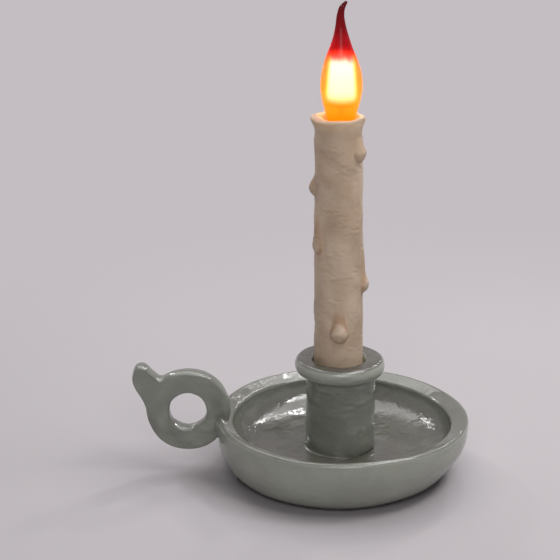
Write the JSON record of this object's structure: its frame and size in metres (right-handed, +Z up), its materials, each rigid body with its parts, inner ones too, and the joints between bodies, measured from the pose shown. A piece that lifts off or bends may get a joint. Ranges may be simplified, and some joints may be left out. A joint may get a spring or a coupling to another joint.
{
  "type": "battery candle lamp",
  "caption": "Table lamp shaped as a drip candle in a glazed chamberstick dish with a finger handle, lit by a flame-shaped coloured screw-in lamp.",
  "frame": {"origin": "centre of the foot ring on the table, on the candle's axis", "axes": "+Z up along the candle, the finger handle points along -X, the pictured side faces -Y"},
  "size_m": [0.2727, 0.206, 0.3942],
  "materials": {
    "glaze": "gloss",
    "wax": "satin",
    "flame_glass": "gloss",
    "rubber": "matte",
    "base_plastic": "matte",
    "holder_plastic": "matte",
    "steel": "satin",
    "brass": "satin",
    "cap_metal": "satin",
    "porcelain": "satin",
    "black_glass": "gloss",
    "clear_glass": "gloss",
    "phosphor": "satin",
    "board_green": "satin",
    "chip_black": "matte",
    "cell_wrap": "gloss",
    "lead_red": "satin",
    "lead_black": "satin"
  },
  "bodies": {
    "lamp": {"dish": "glaze", "foot_ring": "rubber", "finger_handle": "glaze", "handle_dowel": "steel", "candle_cup": "glaze", "sleeve_seat": "holder_plastic", "candle_sleeve": "wax", "lamp_pipe": "steel", "pipe_nuts": "steel", "pipe_washers": "steel", "holder_base": "holder_plastic", "holder_insert": "porcelain", "holder_sleeve": "holder_plastic", "screw_shell": "brass", "contact_tongue": "brass", "holder_terminals": "brass", "sleeve_spacer": "holder_plastic", "base_plate": "base_plastic", "base_screws": "steel", "battery_tray": "base_plastic", "battery_cells": "cell_wrap", "cell_springs": "steel", "cell_contacts": "steel", "switch_body": "base_plastic", "driver_board": "board_green", "board_parts": "chip_black", "board_screws": "steel", "lamp_lead_live": "lead_red", "lamp_lead_return": "lead_black", "battery_leads": "lead_red", "switch_leads": "lead_black"},
    "bulb_contact": {"cap_contact": "cap_metal"},
    "bulb": {"bulb_glass": "flame_glass", "bulb_cap": "cap_metal", "cap_insulator": "black_glass", "bulb_stem": "clear_glass", "bulb_filaments": "phosphor", "filament_wires": "steel"},
    "door": {"battery_door": "base_plastic", "door_screw": "steel"},
    "slider": {"switch_knob": "holder_plastic"}
  },
  "joints": [
    {"name": "bulb_lift", "type": "slide", "parent": "lamp", "child": "bulb_contact", "axis": [0, 0, 1], "range_m": [0, 0.0099]},
    {"name": "bulb_turn", "type": "hinge", "parent": "bulb_contact", "child": "bulb", "pos_m": [0, 0, 0.269], "axis": [0, 0, 1], "range_deg": [0, 1260]},
    {"name": "battery_door_swing", "type": "hinge", "parent": "lamp", "child": "door", "pos_m": [0.0319, -0.02335, 0.00335], "axis": [-1, 0, 0], "range_deg": [0, 90]},
    {"name": "switch_slide", "type": "slide", "parent": "lamp", "child": "slider", "axis": [1, 0, 0], "range_m": [-0.004, 0]}
  ],
  "couplings": [
    {"joint": "bulb_lift", "follows": "bulb_turn", "m_per_rad": 0.00044882}
  ]
}
